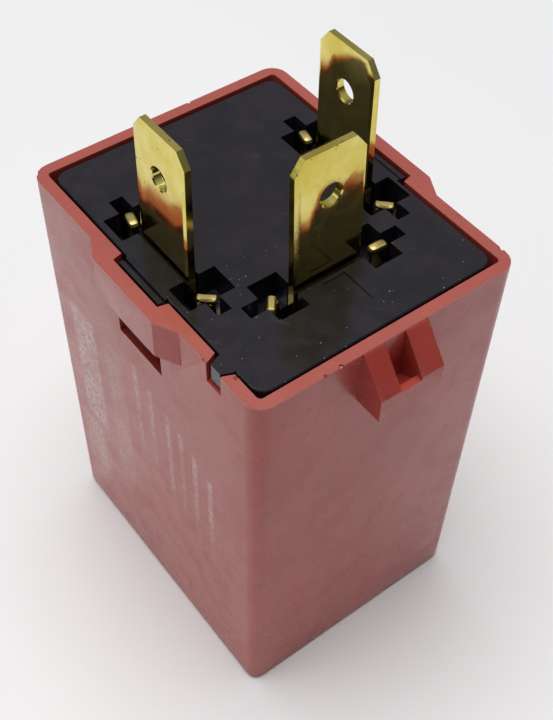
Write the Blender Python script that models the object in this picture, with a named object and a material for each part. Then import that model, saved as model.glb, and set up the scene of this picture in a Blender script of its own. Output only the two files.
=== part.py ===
"""A three-blade plug-in relay: red clip-on case, black base, brass blades, coil, contacts and board.

Lengths are written in millimetres and turned into metres where a mesh is made. The relay stands on
the closed end of its case, with its blades up (+Z). The origin is the middle of that closed end.
The front (-Y) has the key, and the right side (+X) has the bracket pocket.
"""
import math

import bmesh
import bpy
from mathutils import Matrix, Vector

MM = 0.001
WELD = 1e-6
GAP = 0.3

# Case: a rounded box that is open at the top.
CASE_W = 30.2
CASE_D = 24.5
CASE_H = 42.0
WALL = 1.0
DRAFT = 0.4
FLOOR = 1.2
CORNER_R = 1.5
INNER_CORNER_R = 0.35
FOOT_R = 0.6

# Latch bulges, pockets and windows, the same on the front and the back.
BULGE_FOOT = 5.9
BULGE_TOP = 3.95
BULGE_OUT = 1.0
BULGE_LOW = 38.35
POCKET_MOUTH = 3.15
POCKET_BACK = 2.95
POCKET_DEPTH = 0.85
WINDOW_LOW = 34.25

# Key notch in the front wall, wider at its inner mouth.
KEY_X = 10.1
NOTCH_W = 1.7
NOTCH_FLARE = 0.35
NOTCH_LOW = 40.0
KEY_SET_BACK = 0.2

# Bracket pocket on the right wall.
BOSS_Y = (-2.95, 3.05)
BOSS_OUT = 2.35
BOSS_TOP = 38.85
BOSS_LOW = 36.65
BOSS_SLOT_Y = (-1.05, 0.95)
BOSS_SLOT_FLOOR = (0.5, 1.4)
BOSS_LIP = 0.6
BOSS_LIP_TOP = 38.6

# Base plate.
BASE_TOP = 41.9
BASE_LOW = 37.6
BASE_HALF_X = 13.8
BASE_HALF_Y = 11.0
BASE_CORNER_R = 1.1
BASE_CHAMFER = 0.1
TONGUE_HALF = 2.65
TONGUE_Y = (11.4, 11.8)
TONGUE_TOP = 41.8
TONGUE_LOW = 35.4
SILL_OUT = 11.2
GROOVE_DEPTH = 0.4
LUG_OUT = 12.95
LUG_T = 0.5
STOP_X = (-0.6, 0.8)
STOP_Y = (-5.2, -3.2)
GUIDES_X = ((-12.0, -9.0), (9.2, 12.0))
GUIDE_T = 0.6
GUIDE_LAP = 1.4

# Blades and the slots they stand in.
BLADE_W = 6.3
BLADE_T = 0.8
BLADE_TOP = 53.4
BLADE_CHAMFER = (0.9, 1.2)
BLADE_HOLE_Z = 49.4
BLADE_HOLE_R = 0.95
SHOULDER_Z = (36.0, 37.3)
SHOULDER_HALF = 5.85
EAR_HALF = (4.25, 5.85)
EAR_TOP = 41.7
EAR_STRAIGHT = 39.5
SLOT_HALF = 7.35
SLOT_W = 1.25
TOOL_POCKET = (3.1, 5.8)
TOOL_POCKET_W = 4.1
TOOL_POCKET_LOW = 39.4
POCKET_RIM = 0.35

FRONT_BLADE = (-1.2, -8.4)
REAR_BLADE = (-1.2, 8.65)
SIDE_BLADE = (7.1, 0.1)

# How far each terminal's two ears are twisted when it is staked: at its low and at its high end.
FRONT_TWISTS = (-14, 50)
REAR_TWISTS = (-14, 46)
SIDE_TWISTS = (-52, 4)

# Inner legs of the terminals, the rear terminal's tab for the board and the side terminal's foot.
LEG_HALF = 2.0
FRONT_LEG_LOW = 25.9
REAR_LEG_LOW = 30.0
TAB_HALF = 1.0
TAB_Z = (30.4, 31.2)
TAB_REACH = 0.8
FOOT_HALF = 2.0
FOOT_BACK = 1.6

# Circuit board, standing behind the coil.
BOARD_X = 12.6
BOARD_Y = (6.2, 7.8)
BOARD_Z = (3.0, 34.8)
LEAD_END_Y = 8.4
LEAD_R = 0.3

# Magnet: yoke, core, bobbin and coil.
CORE_X = -3.5
CORE_Y = -1.0
YOKE_X = (-11.5, -10.0)
YOKE_Y = (-5.5, 3.5)
YOKE_Z = (9.0, 29.4)
YOKE_T = 1.5
YOKE_END = 2.6
YOKE_EAR_TOP = 31.3
YOKE_EAR_W = 1.9
YOKE_TABS = ((-9.6, -7.6), (0.4, 2.4))
POLE_TOP = 29.4
POLE_R = 4.0
CORE_R = 2.5
TENON_R = 1.5
BARREL_R = 3.5
FLANGE_R = 6.2
WINDING_R = 5.6
TAPE_R = (5.9, 6.1)
PIN_X = (-6.0, -1.0)
PIN_Z = 12.75

# Armature and contacts, drawn closed and then turned to the open rest position.
HINGE_X = -11.0
HINGE_Z = 29.5
OPEN_ANGLE = 4.0
ARMATURE_Z = (29.65, 30.85)
ARMATURE_END = 1.0
LEAF_Z = (31.1, 31.4)
LEAF_Y = (-2.6, 2.0)
CONTACT_X = 4.8
CONTACT_Y = -0.3
FOOT_Z = (26.9, 27.7)
FIXED_TOP = 29.0
STOP_LOW = 32.1

# Return spring.
SPRING_X = -12.8
SPRING_R = 0.85
SPRING_WIRE_R = 0.2
SPRING_TURNS = 8
LOW_HOOK_R = 1.05
HIGH_HOOK_R = 1.2
SPRING_Z = (19.4, 27.0)
LUG_Z = (17.45, 18.15)

LUG_REACH = -13.4

# Parts that lie along X in front of the board: middle X, height, body radius, half length, finish.
LYING_PARTS = {
    "resistor_low": (-6.6, 5.0, 1.2, 3.1, "resistor"),
    "resistor_mid": (7.6, 24.4, 1.2, 3.1, "resistor"),
    "resistor_high": (7.6, 27.8, 1.2, 3.1, "resistor"),
    "diode": (7.6, 31.3, 1.3, 2.6, "diode"),
}
LYING_SPAN = 4.2
LYING_Y = 4.5

# Timer chip and timing capacitor.
CHIP_MIDDLE = (7.8, 17.4)
CHIP_HALF = (3.1, 4.9)
CHIP_Y = (2.5, 5.7)
CHIP_ROW = 3.81
CHIP_PITCH = 2.54
CAPACITOR_MIDDLE = (8.0, 8.6)
CAPACITOR_R = 3.15
CAPACITOR_LENGTH = 11.0
CAPACITOR_PITCH = 2.5

# The pigtail's bends up to the leaf, and the heights where the shunt wire bends.
PIGTAIL_POINTS = [(-10.75, -6.5, 22.4), (-10.75, -7.0, 26.9), (-9.6, -7.1, 31.0),
                  (-6.8, -6.0, 33.6), (-3.8, -4.3, 34.0)]
PIGTAIL_R = 0.6
SHUNT_BENDS = (20.0, 16.0, 12.5, 10.4)
SHUNT_R = 0.6

# Edges that are flatter than this are shaded round.
ROUND_BELOW = math.radians(40)


# ---------------------------------------------------------------- materials

def finish(name, colour, roughness, metallic=0.0):
    """A Principled material with one colour, roughness and metallic value."""
    made = bpy.data.materials.new(name)
    made.use_nodes = True
    shader = made.node_tree.nodes["Principled BSDF"]
    shader.inputs["Base Color"].default_value = (*colour, 1.0)
    shader.inputs["Roughness"].default_value = roughness
    shader.inputs["Metallic"].default_value = metallic
    made.diffuse_color = (*colour, 1.0)
    return made


def make_finishes():
    """Every material of the relay, by name."""
    return {
        "red_plastic": finish("red_plastic", (0.24, 0.035, 0.025), 0.3),
        "black_plastic": finish("black_plastic", (0.02, 0.019, 0.022), 0.4),
        "brass": finish("brass", (0.6, 0.48, 0.16), 0.28, 1.0),
        "steel": finish("steel", (0.5, 0.5, 0.48), 0.35, 1.0),
        "bobbin_plastic": finish("bobbin_plastic", (0.75, 0.72, 0.62), 0.5),
        "copper_wire": finish("copper_wire", (0.55, 0.2, 0.08), 0.3, 1.0),
        "tape": finish("tape", (0.75, 0.5, 0.08), 0.35),
        "silver": finish("silver", (0.8, 0.8, 0.78), 0.25, 1.0),
        "spring_bronze": finish("spring_bronze", (0.62, 0.36, 0.16), 0.3, 1.0),
        "spring_steel": finish("spring_steel", (0.45, 0.45, 0.45), 0.3, 1.0),
        "tinned_wire": finish("tinned_wire", (0.6, 0.6, 0.6), 0.35, 1.0),
        "board": finish("board", (0.16, 0.2, 0.05), 0.5),
        "chip": finish("chip", (0.02, 0.02, 0.02), 0.5),
        "capacitor": finish("capacitor", (0.02, 0.03, 0.12), 0.35),
        "resistor": finish("resistor", (0.62, 0.47, 0.3), 0.5),
        "diode": finish("diode", (0.03, 0.03, 0.03), 0.35),
    }


# ---------------------------------------------------------------- mesh tools

def add_object(name, bm):
    """Links a bmesh, drawn in millimetres, as an object in metres."""
    bmesh.ops.recalc_face_normals(bm, faces=bm.faces)
    bmesh.ops.scale(bm, vec=(MM, MM, MM), verts=bm.verts)
    mesh = bpy.data.meshes.new(name)
    bm.to_mesh(mesh)
    bm.free()
    made = bpy.data.objects.new(name, mesh)
    bpy.context.scene.collection.objects.link(made)
    return made


def loft(name, rings):
    """A closed body through rings that have the same number of points."""
    bm = bmesh.new()
    loops = [[bm.verts.new(point) for point in ring] for ring in rings]
    count = len(rings[0])
    for lower, upper in zip(loops, loops[1:]):
        for i in range(count):
            j = (i + 1) % count
            bm.faces.new((lower[i], lower[j], upper[j], upper[i]))
    bm.faces.new(loops[0])
    bm.faces.new(loops[-1])
    return add_object(name, bm)


def extrude(name, outline, axis, low, high):
    """A prism: the outline lies across the axis, its points in the order X, Y, Z without that axis."""
    def place(point, along):
        a, b = point
        return {"X": (along, a, b), "Y": (a, along, b), "Z": (a, b, along)}[axis]
    return loft(name, [[place(p, low) for p in outline], [place(p, high) for p in outline]])


def block(name, x, y, z):
    """A box from its low and high X, Y and Z."""
    outline = [(x[0], y[0]), (x[1], y[0]), (x[1], y[1]), (x[0], y[1])]
    return extrude(name, outline, "Z", *z)


def rounded_rectangle(half_x, half_y, radius, steps=5):
    """The outline of a rectangle with round corners."""
    points = []
    for quarter, (sx, sy) in enumerate(((1, 1), (-1, 1), (-1, -1), (1, -1))):
        for i in range(steps + 1):
            angle = math.radians(90 * (quarter + i / steps))
            x = sx * (half_x - radius) + radius * math.cos(angle)
            y = sy * (half_y - radius) + radius * math.sin(angle)
            points.append((x, y))
    return points


def turned(name, profile, centre, axis="Z", steps=24, hollow=False):
    """A solid of revolution through (radius, position along the axis). It is closed by flat ends, or,
    if it is hollow, by joining its last ring to its first."""
    bm = bmesh.new()
    rings = []
    for radius, along in profile:
        ring = []
        for i in range(steps):
            angle = math.tau * i / steps
            a = centre[0] + radius * math.cos(angle)
            b = centre[1] + radius * math.sin(angle)
            ring.append(bm.verts.new((a, b, along) if axis == "Z" else (a, along, b)))
        rings.append(ring)
    followers = rings[1:] + (rings[:1] if hollow else [])
    for first, second in zip(rings, followers):
        for i in range(steps):
            j = (i + 1) % steps
            bm.faces.new((first[i], first[j], second[j], second[i]))
    if not hollow:
        bm.faces.new(rings[0])
        bm.faces.new(rings[-1])
    return add_object(name, bm)


def as_mesh(source, name):
    """Turns a curve object into a mesh object and removes the curve object."""
    graph = bpy.context.evaluated_depsgraph_get()
    mesh = bpy.data.meshes.new_from_object(source.evaluated_get(graph))
    bpy.data.objects.remove(source)
    bm = bmesh.new()
    bm.from_mesh(mesh)
    bmesh.ops.remove_doubles(bm, verts=bm.verts, dist=WELD)
    bmesh.ops.recalc_face_normals(bm, faces=bm.faces)
    bm.to_mesh(mesh)
    bm.free()
    made = bpy.data.objects.new(name, mesh)
    bpy.context.scene.collection.objects.link(made)
    return made


def wire(name, points, radius, resolution=2):
    """A round wire along points in millimetres, with closed ends."""
    curve = bpy.data.curves.new(name, "CURVE")
    curve.dimensions = "3D"
    curve.bevel_depth = radius * MM
    curve.bevel_resolution = resolution
    curve.use_fill_caps = True
    spline = curve.splines.new("POLY")
    spline.points.add(len(points) - 1)
    for target, point in zip(spline.points, points):
        target.co = (*(Vector(point) * MM), 1.0)
    source = bpy.data.objects.new(name + "_path", curve)
    bpy.context.scene.collection.objects.link(source)
    return as_mesh(source, name)


def smooth_path(anchors, steps=6):
    """Points of a Catmull-Rom curve through the anchors."""
    ends = [anchors[0]] + list(anchors) + [anchors[-1]]
    ends = [Vector(p) for p in ends]
    points = []
    for a, b, c, d in zip(ends, ends[1:], ends[2:], ends[3:]):
        for i in range(steps):
            t = i / steps
            points.append(0.5 * (2 * b + (c - a) * t + (2 * a - 5 * b + 4 * c - d) * t ** 2
                                 + (3 * b - a - 3 * c + d) * t ** 3))
    return points + [ends[-1]]


def combine(body, tool, operation):
    """Joins the tool to the body or cuts it away, and removes the tool."""
    change = body.modifiers.new(operation.lower(), "BOOLEAN")
    change.operation = operation
    change.object = tool
    graph = bpy.context.evaluated_depsgraph_get()
    mesh = bpy.data.meshes.new_from_object(body.evaluated_get(graph))
    body.modifiers.clear()
    body.data = mesh
    bpy.data.objects.remove(tool)


def join(body, *tools):
    """Joins every tool to the body."""
    for tool in tools:
        combine(body, tool, "UNION")


def cut(body, *tools):
    """Cuts every tool out of the body."""
    for tool in tools:
        combine(body, tool, "DIFFERENCE")


def dress(made, material, smooth=False):
    """Gives a finished piece its material and, if it is round, smooth shading."""
    made.data.materials.clear()
    made.data.materials.append(material)
    if smooth:
        made.data.shade_smooth()
        made.data.set_sharp_from_angle(angle=ROUND_BELOW)
    return made


def round_bar(name, centre, radius, low, high, axis="Z", steps=24):
    """A plain cylinder."""
    return turned(name, [(radius, low), (radius, high)], centre, axis, steps)


# ---------------------------------------------------------------- case and base

def mirrored(outline, side):
    """An XY outline for the front (side -1) or the back (side 1)."""
    return [(x, side * y) for x, y in outline]


def key_outline(half, outer_y, inner_y):
    """The XY outline of the notch or the key: straight in the wall and wider towards the inside."""
    bend_y = -CASE_D / 2 + KEY_SET_BACK
    mouth_y = -CASE_D / 2 + WALL
    right = [(KEY_X + half, outer_y), (KEY_X + half, max(bend_y, outer_y + 0.01)),
             (KEY_X + half + NOTCH_FLARE, mouth_y), (KEY_X + half + NOTCH_FLARE, inner_y)]
    return right + [(2 * KEY_X - x, y) for x, y in reversed(right)]


def make_case(material):
    """The red shell with its latch bulges, windows, key notch and bracket pocket."""
    half_x = CASE_W / 2
    half_y = CASE_D / 2

    def ring(inset, z):
        outline = rounded_rectangle(half_x - inset, half_y - inset, CORNER_R - inset)
        return [(x, y, z) for x, y in outline]

    shell = loft("case", [ring(DRAFT + FOOT_R, 0), ring(DRAFT + FOOT_R * 0.3, FOOT_R * 0.3),
                          ring(DRAFT, FOOT_R), ring(0, CASE_H)])
    bulge = [(-BULGE_FOOT, half_y), (-BULGE_TOP, half_y + BULGE_OUT),
             (BULGE_TOP, half_y + BULGE_OUT), (BULGE_FOOT, half_y),
             (BULGE_FOOT, half_y - WALL / 2), (-BULGE_FOOT, half_y - WALL / 2)]
    for side in (-1, 1):
        join(shell, extrude("bulge", mirrored(bulge, side), "Z", BULGE_LOW, CASE_H))
    boss = [(half_x - WALL / 2, CASE_H), (half_x, CASE_H), (half_x + BOSS_OUT, BOSS_TOP),
            (half_x + BOSS_OUT, BOSS_LOW), (half_x - WALL / 2, BOSS_LOW)]
    join(shell, extrude("boss", boss, "Y", *BOSS_Y))

    def inner_ring(inset, z):
        outline = rounded_rectangle(half_x - WALL - inset, half_y - WALL - inset, INNER_CORNER_R, 3)
        return [(x, y, z) for x, y in outline]

    cut(shell, loft("inside", [inner_ring(DRAFT, FLOOR), inner_ring(0, CASE_H),
                               inner_ring(0, CASE_H + 1)]))
    inner = half_y - WALL
    pocket = [(-POCKET_MOUTH, inner - 1), (-POCKET_MOUTH, inner),
              (-POCKET_BACK, inner + POCKET_DEPTH), (POCKET_BACK, inner + POCKET_DEPTH),
              (POCKET_MOUTH, inner), (POCKET_MOUTH, inner - 1)]
    for side in (-1, 1):
        cut(shell, extrude("pocket", mirrored(pocket, side), "Z", BULGE_LOW - 1, CASE_H + 1))
        through = sorted((side * (inner - 1), side * (half_y + BULGE_OUT + 1)))
        cut(shell, block("window", (-POCKET_BACK, POCKET_BACK), through, (WINDOW_LOW, BULGE_LOW)))
    cut(shell, extrude("notch", key_outline(NOTCH_W / 2, -half_y - 1, -inner + 1), "Z",
                       NOTCH_LOW, CASE_H + 1))

    slot_x = (half_x + 0.02, half_x + BOSS_OUT - BOSS_LIP)
    floor_low, floor_high = BOSS_SLOT_FLOOR
    slot = [(slot_x[0], BOSS_LOW + floor_low), (slot_x[1], BOSS_LOW + floor_high),
            (slot_x[1], CASE_H + 1), (slot_x[0], CASE_H + 1)]
    cut(shell, extrude("slot", slot, "Y", *BOSS_SLOT_Y))
    lip_x = (slot_x[1] - 0.1, half_x + BOSS_OUT + 1)
    cut(shell, block("lip", lip_x, BOSS_SLOT_Y, (BOSS_LIP_TOP, CASE_H)))
    return dress(shell, material, smooth=True)


def blade_slot_tools(centre, along_x):
    """The cutters of one blade's slot: a narrow slot right through and a tool pocket at each end."""
    def across(u, v, z):
        x, y = (u, v) if along_x else (v, u)
        x = (centre[0] + x[0], centre[0] + x[1])
        y = (centre[1] + y[0], centre[1] + y[1])
        return block("slot", x, y, z)

    tools = [across((-SLOT_HALF, SLOT_HALF), (-SLOT_W / 2, SLOT_W / 2), (BASE_LOW - 1, BASE_TOP + 1))]
    near, far = TOOL_POCKET
    half = TOOL_POCKET_W / 2
    limit = BASE_HALF_Y - POCKET_RIM - centre[1] if along_x else half
    for u in ((near, far), (-far, -near)):
        tools.append(across(u, (-half, min(half, limit)), (TOOL_POCKET_LOW, BASE_TOP + 1)))
    return tools


def make_base(material):
    """The black plate with latch tongues, key, blade slots, armature stop and board guides."""
    def ring(inset, z):
        outline = rounded_rectangle(BASE_HALF_X - inset, BASE_HALF_Y - inset, BASE_CORNER_R - inset, 3)
        return [(x, y, z) for x, y in outline]

    plate = loft("base", [ring(0, BASE_LOW), ring(0, BASE_TOP - BASE_CHAMFER),
                          ring(BASE_CHAMFER, BASE_TOP)])
    near, far = TONGUE_Y
    for side in (-1, 1):
        tongue_y = sorted((side * near, side * far))
        bridge_y = sorted((side * (BASE_HALF_Y - 0.5), side * (near + 0.1)))
        sill_y = sorted((side * (BASE_HALF_Y - 0.5), side * SILL_OUT))
        lug_top = BULGE_LOW - GAP
        lug = [(side * (far - 0.1), lug_top), (side * LUG_OUT, lug_top),
               (side * LUG_OUT, lug_top - LUG_T), (side * (far - 0.1), TONGUE_LOW + 0.2)]
        join(plate,
             block("bridge", (-TONGUE_HALF, TONGUE_HALF), bridge_y,
                   (BASE_LOW + 1, BASE_TOP - GROOVE_DEPTH)),
             block("sill", (-TONGUE_HALF, TONGUE_HALF), sill_y, (BASE_LOW + 2, BASE_TOP)),
             block("tongue", (-TONGUE_HALF, TONGUE_HALF), tongue_y, (TONGUE_LOW, TONGUE_TOP)),
             extrude("lug", lug, "X", -TONGUE_HALF, TONGUE_HALF))
    key = key_outline(NOTCH_W / 2 - GAP, -CASE_D / 2 + KEY_SET_BACK, -BASE_HALF_Y + 1)
    join(plate, extrude("key", key, "Z", NOTCH_LOW + GAP, BASE_TOP))
    join(plate, block("stop", STOP_X, STOP_Y, (STOP_LOW, BASE_LOW + 1)))
    for x in GUIDES_X:
        for y in ((BOARD_Y[0] - GAP - GUIDE_T, BOARD_Y[0] - GAP),
                  (BOARD_Y[1] + GAP, BOARD_Y[1] + GAP + GUIDE_T)):
            join(plate, block("guide", x, y, (BOARD_Z[1] - GUIDE_LAP, BASE_LOW + 1)))
    for centre, along_x in ((FRONT_BLADE, True), (REAR_BLADE, True), (SIDE_BLADE, False)):
        cut(plate, *blade_slot_tools(centre, along_x))
    return dress(plate, material)


# ---------------------------------------------------------------- terminals

def terminal_outline(leg_low):
    """The flat outline of a blade, its shoulders, its two ears and its inner leg, as (u, z)."""
    half = BLADE_W / 2
    ear_in, ear_out = EAR_HALF
    right = [(LEG_HALF, leg_low), (LEG_HALF, SHOULDER_Z[0]), (SHOULDER_HALF, SHOULDER_Z[0]),
             (ear_out, EAR_STRAIGHT), (ear_in, EAR_STRAIGHT), (ear_in, SHOULDER_Z[1]),
             (half, SHOULDER_Z[1]), (half, BLADE_TOP - BLADE_CHAMFER[1]),
             (half - BLADE_CHAMFER[0], BLADE_TOP)]
    return right + [(-u, z) for u, z in reversed(right)]


def twisted_ear(centre, side, along_x, twist):
    """The staked top of an ear, turned about its own middle by the twist as it rises."""
    middle = side * (EAR_HALF[0] + EAR_HALF[1]) / 2
    half_u = (EAR_HALF[1] - EAR_HALF[0]) / 2
    rings = []
    steps = 5
    for i in range(steps + 1):
        share = i / steps
        z = EAR_STRAIGHT - 0.1 + share * (EAR_TOP - EAR_STRAIGHT + 0.1)
        angle = math.radians(twist * share)
        ring = []
        for du, dv in ((-half_u, -BLADE_T / 2), (half_u, -BLADE_T / 2),
                       (half_u, BLADE_T / 2), (-half_u, BLADE_T / 2)):
            u = middle + du * math.cos(angle) - dv * math.sin(angle)
            v = du * math.sin(angle) + dv * math.cos(angle)
            x, y = (u, v) if along_x else (v, u)
            ring.append((centre[0] + x, centre[1] + y, z))
        rings.append(ring)
    return loft("ear", rings)


def make_terminal(name, centre, along_x, twists, leg_low, material):
    """One brass terminal with its blade hole and staked ears."""
    across = 1 if along_x else 0
    along = 0 if along_x else 1
    outline = [(centre[along] + u, z) for u, z in terminal_outline(leg_low)]
    axis = "Y" if along_x else "X"
    low, high = centre[across] - BLADE_T / 2, centre[across] + BLADE_T / 2
    plate = extrude(name, outline, axis, low, high)
    for side, twist in zip((-1, 1), twists):
        join(plate, twisted_ear(centre, side, along_x, twist))
    hole = [(centre[along] + BLADE_HOLE_R * math.cos(math.tau * i / 24),
             BLADE_HOLE_Z + BLADE_HOLE_R * math.sin(math.tau * i / 24)) for i in range(24)]
    cut(plate, extrude("hole", hole, axis, low - 1, high + 1))
    return dress(plate, material)


def make_terminals(material):
    """The front and rear terminals, and the side terminal whose foot carries the fixed contact."""
    make_terminal("terminal_front", FRONT_BLADE, True, FRONT_TWISTS, FRONT_LEG_LOW, material)
    rear = make_terminal("terminal_rear", REAR_BLADE, True, REAR_TWISTS, REAR_LEG_LOW, material)
    join(rear, block("tab", (REAR_BLADE[0] - TAB_HALF, REAR_BLADE[0] + TAB_HALF),
                     (BOARD_Y[0] - TAB_REACH, REAR_BLADE[1]), TAB_Z))
    dress(rear, material)
    side = make_terminal("terminal_side", SIDE_BLADE, False, SIDE_TWISTS, FOOT_Z[0], material)
    foot_x = (CONTACT_X - FOOT_BACK, SIDE_BLADE[0] + BLADE_T / 2)
    join(side, block("foot", foot_x, (CONTACT_Y - FOOT_HALF, CONTACT_Y + FOOT_HALF), FOOT_Z))
    cut(side, round_bar("hole", (CONTACT_X, CONTACT_Y), 1.0, FOOT_Z[0] - 1, FOOT_Z[1] + 1))
    dress(side, material)


# ---------------------------------------------------------------- magnet

def make_yoke(material):
    """The L-shaped steel frame, with hinge ears, board tabs and the spring lug."""
    outline = [(YOKE_X[0], YOKE_Z[0]), (YOKE_END, YOKE_Z[0]), (YOKE_END, YOKE_Z[0] + YOKE_T),
               (YOKE_X[1], YOKE_Z[0] + YOKE_T), (YOKE_X[1], YOKE_Z[1]), (YOKE_X[0], YOKE_Z[1])]
    frame = extrude("yoke", outline, "Y", *YOKE_Y)
    for y in ((YOKE_Y[0], YOKE_Y[0] + YOKE_EAR_W), (YOKE_Y[1] - YOKE_EAR_W, YOKE_Y[1])):
        join(frame, block("ear", YOKE_X, y, (YOKE_Z[1] - 1, YOKE_EAR_TOP)))
    for x in YOKE_TABS:
        join(frame, block("tab", x, (YOKE_Y[1] - 1, LEAD_END_Y), (YOKE_Z[0], YOKE_Z[0] + YOKE_T)))
    join(frame, block("lug", (LUG_REACH, YOKE_X[0] + 0.5), (CORE_Y - 0.5, CORE_Y + 0.5), LUG_Z))
    cut(frame, round_bar("tenon_hole", (CORE_X, CORE_Y), TENON_R + GAP, YOKE_Z[0] - 1, YOKE_Z[0] + 3))
    return dress(frame, material)


def make_core(material):
    """The core: a pole cap, a shaft, and a tenon that is peened under the yoke."""
    seat = YOKE_Z[0] + YOKE_T + GAP
    under = YOKE_Z[0] - GAP
    profile = [(TENON_R + 0.7, under - 0.6), (TENON_R + 0.7, under),
               (TENON_R, under), (TENON_R, seat), (CORE_R, seat), (CORE_R, POLE_TOP - 1),
               (POLE_R, POLE_TOP - 1), (POLE_R, POLE_TOP)]
    return dress(turned("core", profile, (CORE_X, CORE_Y)), material, smooth=True)


def bobbin_levels():
    """The heights of the bobbin's ends and of the inner faces of its flanges."""
    low = YOKE_Z[0] + YOKE_T + GAP
    high = POLE_TOP - 1 - GAP
    return low, low + 1.2, high - 1.0, high


def make_bobbin(material):
    """The coil former, with the thin wall that holds the two coil pins."""
    low, low_in, high_in, high = bobbin_levels()
    bore = CORE_R + GAP
    profile = [(bore, low), (FLANGE_R, low), (FLANGE_R, low_in), (BARREL_R, low_in),
               (BARREL_R, high_in), (FLANGE_R, high_in), (FLANGE_R, high), (bore, high)]
    former = turned("bobbin", profile, (CORE_X, CORE_Y), steps=32, hollow=True)
    join(former,
         block("ledge", (PIN_X[0] - 1.2, PIN_X[1] + 1.2), (2.0, 5.9), (low, low_in - 0.01)),
         block("wall", (PIN_X[0] - 1.2, PIN_X[1] + 1.2), (5.4, 5.9), (low, PIN_Z + 1.1)))
    cut(former, round_bar("bore", (CORE_X, CORE_Y), bore, low - 1, low_in + 1, steps=32))
    for x in PIN_X:
        cut(former, round_bar("pin_hole", (x, PIN_Z), 0.6, 5, 7, axis="Y", steps=12))
    return dress(former, material, smooth=True)


def make_coil(wire_material, tape_material, pin_material):
    """The winding with its two wire ends, the tape around it, and the coil pins."""
    low, low_in, high_in, high = bobbin_levels()
    low_wound, high_wound = low_in + GAP, high_in - GAP
    profile = [(BARREL_R + GAP, low_wound), (WINDING_R, low_wound),
               (WINDING_R, high_wound), (BARREL_R + GAP, high_wound)]
    winding = turned("coil_winding", profile, (CORE_X, CORE_Y), steps=32, hollow=True)
    for x in PIN_X:
        reach = CORE_Y + math.sqrt(WINDING_R ** 2 - (x - CORE_X) ** 2)
        end = wire("end", [(x, reach - 0.5, low_wound + 0.15), (x, reach + 0.6, low_wound + 0.15)], 0.1)
        join(winding, end)
        pin = wire("coil_pin_left" if x == PIN_X[0] else "coil_pin_right",
                   [(x, 5.0, PIN_Z), (x, LEAD_END_Y, PIN_Z)], LEAD_R)
        dress(pin, pin_material, smooth=True)
    dress(winding, wire_material, smooth=True)
    profile = [(TAPE_R[0], low_wound + GAP), (TAPE_R[1], low_wound + GAP),
               (TAPE_R[1], high_wound - GAP), (TAPE_R[0], high_wound - GAP)]
    tape = turned("coil_tape", profile, (CORE_X, CORE_Y), steps=32, hollow=True)
    dress(tape, tape_material, smooth=True)


# ---------------------------------------------------------------- armature and contacts

def hinge_empty():
    """The pivot on top of the yoke. What hangs on it is drawn closed and turned to its rest angle."""
    pivot = bpy.data.objects.new("armature_pivot", None)
    bpy.context.scene.collection.objects.link(pivot)
    pivot.location = Vector((HINGE_X, CORE_Y, HINGE_Z)) * MM
    pivot.rotation_euler = (0, math.radians(-OPEN_ANGLE), 0)
    return pivot


def hang(made, pivot):
    """Puts a piece that is drawn closed on the pivot, with its origin on the hinge axis."""
    made.data.transform(Matrix.Translation(-pivot.location))
    made.parent = pivot
    return made


def make_armature(pivot, material):
    """The steel flap: wide over the pole, narrow between the yoke's ears, and a tail for the spring."""
    neck = (YOKE_Y[0] + YOKE_EAR_W + GAP, YOKE_Y[1] - YOKE_EAR_W - GAP)
    wide_from = YOKE_X[1] + GAP
    tail_from = YOKE_X[0] - GAP
    upper = [(ARMATURE_END, YOKE_Y[1]), (wide_from, YOKE_Y[1]), (wide_from, neck[1]),
             (tail_from, neck[1]), (tail_from, CORE_Y + 0.5), (LUG_REACH + 0.3, CORE_Y + 0.5),
             (LUG_REACH + 0.3, CORE_Y + 0.8), (LUG_REACH, CORE_Y + 0.8)]
    lower = [(x, 2 * CORE_Y - y) for x, y in reversed(upper)]
    flap = extrude("armature", upper + lower, "Z", *ARMATURE_Z)
    for x in rivet_places():
        cut(flap, round_bar("hole", (x, CONTACT_Y), 0.9, ARMATURE_Z[0] - 1, ARMATURE_Z[1] + 1, steps=16))
    return hang(dress(flap, material), pivot)


def rivet_places():
    """The X positions of the two rivets that hold the contact spring."""
    return (-7.6, -4.4)


def make_contact_spring(pivot, material):
    """The flat leaf that carries the moving contact, with a wing for the pigtail."""
    low_y, high_y = LEAF_Y
    tip = CONTACT_X + 1.2
    outline = [(-8.8, low_y), (-2.8, low_y), (-2.8, low_y - 1.4), (-0.9, low_y - 1.4), (-0.9, low_y),
               (2.0, low_y), (tip - 1.2, CONTACT_Y - 1.7), (tip - 0.4, CONTACT_Y - 1.4),
               (tip, CONTACT_Y), (tip - 0.4, CONTACT_Y + 1.4), (tip - 1.2, CONTACT_Y + 1.7),
               (2.0, high_y), (-8.8, high_y)]
    leaf = extrude("contact_spring", outline, "Z", *LEAF_Z)
    for x in rivet_places():
        cut(leaf, round_bar("hole", (x, CONTACT_Y), 0.9, LEAF_Z[0] - 1, LEAF_Z[1] + 1, steps=16))
    cut(leaf, round_bar("hole", (CONTACT_X, CONTACT_Y), 1.0, LEAF_Z[0] - 1, LEAF_Z[1] + 1, steps=16))
    return hang(dress(leaf, material), pivot)


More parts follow.
